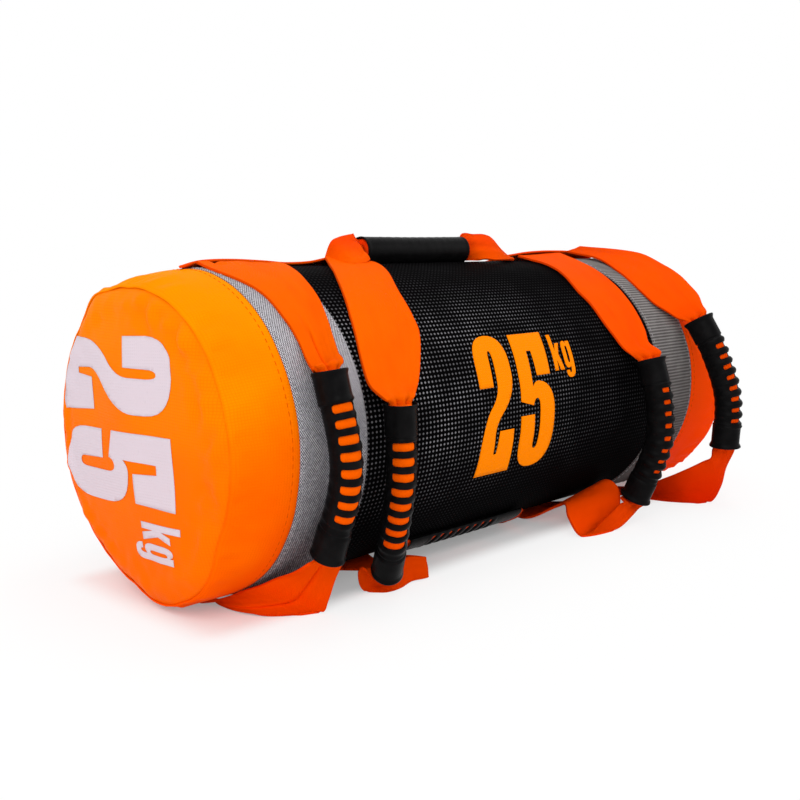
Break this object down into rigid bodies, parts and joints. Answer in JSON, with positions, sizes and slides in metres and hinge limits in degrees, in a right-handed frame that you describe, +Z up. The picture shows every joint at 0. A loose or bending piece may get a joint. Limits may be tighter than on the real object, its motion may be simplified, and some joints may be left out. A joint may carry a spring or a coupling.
{
  "type": "sandbag trainer",
  "caption": "Cylindrical sandbag trainer lying on its side, with webbing straps and slotted rubber grips along its front, top and underside.",
  "frame": {"origin": "middle of the bag's length, on the floor under its axis, in the middle of the bottom strap's underside", "axes": "+X along the bag, with the plain-ended sleeve mouth at +X; -Y is the front, where the upright handles are; +Z up"},
  "size_m": [0.6108, 0.2877, 0.2627],
  "materials": {
    "black_pvc": "embossed, semi-gloss",
    "orange_pvc": "embossed, satin",
    "grey_webbing": "woven",
    "orange_webbing": "woven",
    "grip_rubber": "satin",
    "sleeve_cloth": "woven",
    "sand": "loose"
  },
  "bodies": {
    "bag": {"body_tube": "black_pvc", "left_band": "grey_webbing", "right_band": "grey_webbing", "left_skirt": "orange_pvc", "right_skirt": "orange_pvc", "left_end_panel": "orange_pvc", "right_end_panel": "orange_pvc", "inner_sleeve": "sleeve_cloth", "sand_filling": "sand", "top_strap_left": "orange_webbing", "top_strap_right": "orange_webbing", "bottom_strap": "orange_webbing", "left_outer_strap_upper": "orange_webbing", "left_outer_strap_lower": "orange_webbing", "left_inner_strap_upper": "orange_webbing", "left_inner_strap_lower": "orange_webbing", "right_inner_strap_upper": "orange_webbing", "right_inner_strap_lower": "orange_webbing", "right_outer_strap_upper": "orange_webbing", "right_outer_strap_lower": "orange_webbing", "top_handle_web_left": "orange_webbing", "top_handle_web_right": "orange_webbing", "bottom_handle_web_left": "orange_webbing", "bottom_handle_web_right": "orange_webbing"},
    "left_outer_handle": {"left_outer_grip": "grip_rubber", "left_outer_core": "orange_webbing"},
    "left_inner_handle": {"left_inner_grip": "grip_rubber", "left_inner_core": "orange_webbing"},
    "right_inner_handle": {"right_inner_grip": "grip_rubber", "right_inner_core": "orange_webbing"},
    "right_outer_handle": {"right_outer_grip": "grip_rubber", "right_outer_core": "orange_webbing"},
    "top_handle_loop": {"top_handle_grip": "grip_rubber", "top_handle_core": "orange_webbing"},
    "bottom_handle_loop": {"bottom_handle_grip": "grip_rubber", "bottom_handle_core": "orange_webbing"}
  },
  "joints": [
    {"name": "left_outer_swing", "type": "hinge", "parent": "bag", "child": "left_outer_handle", "pos_m": [-0.2255, -0.085, 0.1], "axis": [0, 0, 1], "range_deg": [-15, 15], "deforming": ["left_outer_strap_upper", "left_outer_strap_lower"]},
    {"name": "left_inner_swing", "type": "hinge", "parent": "bag", "child": "left_inner_handle", "pos_m": [-0.168, -0.085, 0.1], "axis": [0, 0, 1], "range_deg": [-15, 15], "deforming": ["left_inner_strap_upper", "left_inner_strap_lower"]},
    {"name": "right_inner_swing", "type": "hinge", "parent": "bag", "child": "right_inner_handle", "pos_m": [0.151, -0.085, 0.1], "axis": [0, 0, 1], "range_deg": [-15, 15], "deforming": ["right_inner_strap_upper", "right_inner_strap_lower"]},
    {"name": "right_outer_swing", "type": "hinge", "parent": "bag", "child": "right_outer_handle", "pos_m": [0.259, -0.085, 0.1], "axis": [0, 0, 1], "range_deg": [-20, 20], "deforming": ["right_outer_strap_upper", "right_outer_strap_lower"]},
    {"name": "top_handle_flop", "type": "hinge", "parent": "bag", "child": "top_handle_loop", "pos_m": [0, 0.022, 0.237], "axis": [-1, 0, 0], "range_deg": [0, 84], "deforming": ["top_handle_web_left", "top_handle_web_right"]},
    {"name": "bottom_handle_draw", "type": "slide", "parent": "bag", "child": "bottom_handle_loop", "axis": [0, -1, 0], "range_m": [0, 0.025], "deforming": ["bottom_handle_web_left", "bottom_handle_web_right"]}
  ]
}
